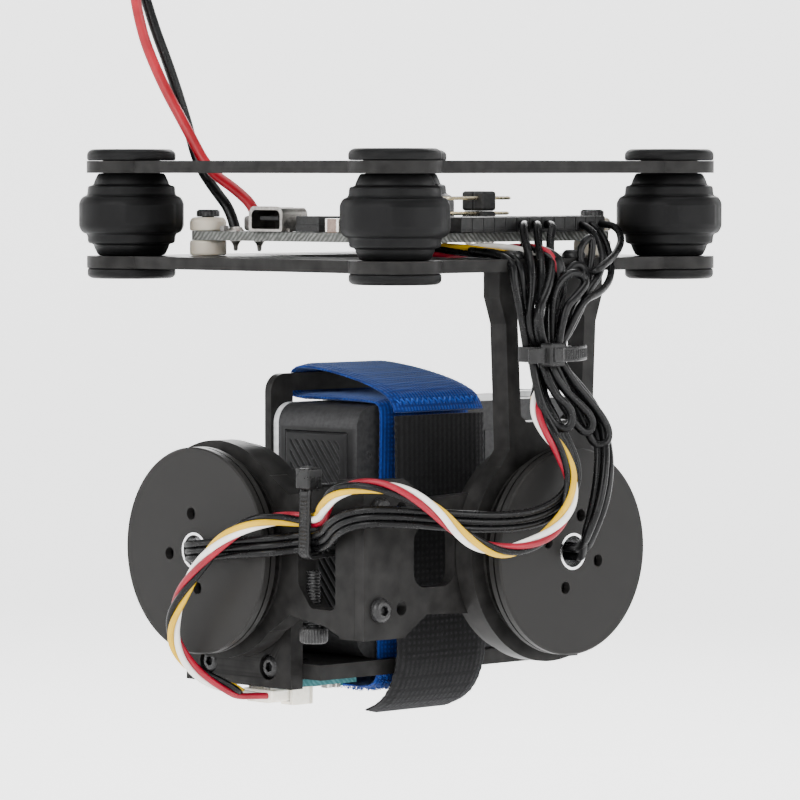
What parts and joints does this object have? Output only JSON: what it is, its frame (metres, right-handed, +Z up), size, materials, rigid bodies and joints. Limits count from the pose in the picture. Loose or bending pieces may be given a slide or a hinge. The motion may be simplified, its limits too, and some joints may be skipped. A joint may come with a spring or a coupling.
{
  "type": "camera gimbal",
  "caption": "Two-axis brushless gimbal for a small aircraft: rubber-isolated plates, hanging arm, roll and pitch motors, and a strapped-in action camera.",
  "frame": {"origin": "centre of the top plate's upper face, at the middle of its aircraft bolt holes", "axes": "+Z up, away from the camera; +Y forward, the way the lens looks; +X to the camera's right"},
  "size_m": [0.09, 0.089, 0.1351],
  "materials": {
    "black_plate": "black anodised aluminium, satin",
    "board": "glass fibre board with dark solder mask",
    "rubber": "black moulded rubber",
    "black_screw": "black oxide steel",
    "nylon": "translucent natural nylon",
    "tinned": "tinned steel",
    "gold_pin": "gold flashed pin",
    "chip": "moulded black epoxy",
    "passive": "ceramic and ferrite",
    "black_plastic": "black moulded plastic",
    "white_plastic": "natural white nylon",
    "steel": "polished steel tube",
    "magnet": "nickel plated magnet",
    "lamination": "laminated electrical steel",
    "copper": "enamelled copper wire",
    "black_wire": "black silicone wire",
    "red_wire": "red silicone wire",
    "signal_wire": "four-colour signal wires",
    "camera_case": "dark grey moulded case",
    "camera_front": "pale front panel",
    "lens_glass": "coated lens",
    "blue_strap": "blue loop fabric",
    "black_strap": "black hook fabric"
  },
  "bodies": {
    "aircraft_plate": {"top_plate": "black_plate"},
    "isolated_frame": {"isolator_front_left": "rubber", "isolator_front_right": "rubber", "isolator_rear_left": "rubber", "isolator_rear_right": "rubber", "bottom_plate": "black_plate", "roll_arm": "black_plate", "arm_screws": "black_screw", "controller_board": "board", "board_grommets": "nylon", "board_screws": "nylon", "usb_socket": "tinned", "board_chips": "chip", "board_passives": "passive", "pin_header": "black_plastic", "header_pins": "gold_pin", "plug_housings": "black_plastic", "power_lead_red": "red_wire", "power_lead_black": "black_wire", "power_plug": "black_plastic", "harness_tie": "black_plastic", "roll_motor_wires": "black_wire", "pitch_wires_upper": "black_wire", "sensor_cable_upper": "signal_wire", "roll_motor_stator": "lamination", "roll_motor_coils": "copper", "roll_motor_hub": "black_plate", "roll_motor_bearings": "tinned"},
    "roll_frame": {"roll_motor_bell": "black_plate", "roll_motor_magnets": "magnet", "roll_motor_shaft": "steel", "roll_plate": "black_plate", "bracket_screws": "black_screw", "pitch_arm": "black_plate", "clamp_screw": "black_screw", "bracket_tie": "black_plastic", "pitch_wires_lower": "black_wire", "sensor_cable_lower": "signal_wire", "pitch_motor_stator": "lamination", "pitch_motor_coils": "copper", "pitch_motor_hub": "black_plate", "pitch_motor_bearings": "tinned"},
    "camera_cradle": {"pitch_motor_bell": "black_plate", "pitch_motor_magnets": "magnet", "pitch_motor_shaft": "steel", "tray_hub": "black_plate", "camera_tray": "black_plate", "tray_screws": "black_screw", "sensor_board": "board", "sensor_socket": "white_plastic", "sensor_plug": "white_plastic", "strap": "blue_strap", "strap_hook": "black_strap", "camera_body": "camera_case", "camera_front": "camera_front", "camera_door": "camera_case", "lens_barrel": "camera_case", "lens_glass": "lens_glass"},
    "shutter": {"shutter_button": "tinned"}
  },
  "joints": [
    {"name": "isolator_bounce", "type": "slide", "parent": "aircraft_plate", "child": "isolated_frame", "axis": [0, 0, 1], "range_m": [-0.001, 0.001], "stiffness_N_per_m": 6000, "deforming": ["isolator_front_left", "isolator_front_right", "isolator_rear_left", "isolator_rear_right"]},
    {"name": "roll", "type": "hinge", "parent": "isolated_frame", "child": "roll_frame", "pos_m": [0, -0.03, -0.0626], "axis": [0, 1, 0], "range_deg": [-40, 40], "deforming": ["roll_motor_wires", "pitch_wires_upper", "sensor_cable_upper"]},
    {"name": "pitch", "type": "hinge", "parent": "roll_frame", "child": "camera_cradle", "pos_m": [-0.031, 0.0032, -0.0626], "axis": [1, 0, 0], "range_deg": [-90, 45], "deforming": ["pitch_wires_lower", "sensor_cable_lower"]},
    {"name": "shutter_press", "type": "slide", "parent": "camera_cradle", "child": "shutter", "axis": [0, 0, 1], "range_m": [-0.0005, 0], "stiffness_N_per_m": 2000, "springref_m": 0.0002}
  ]
}
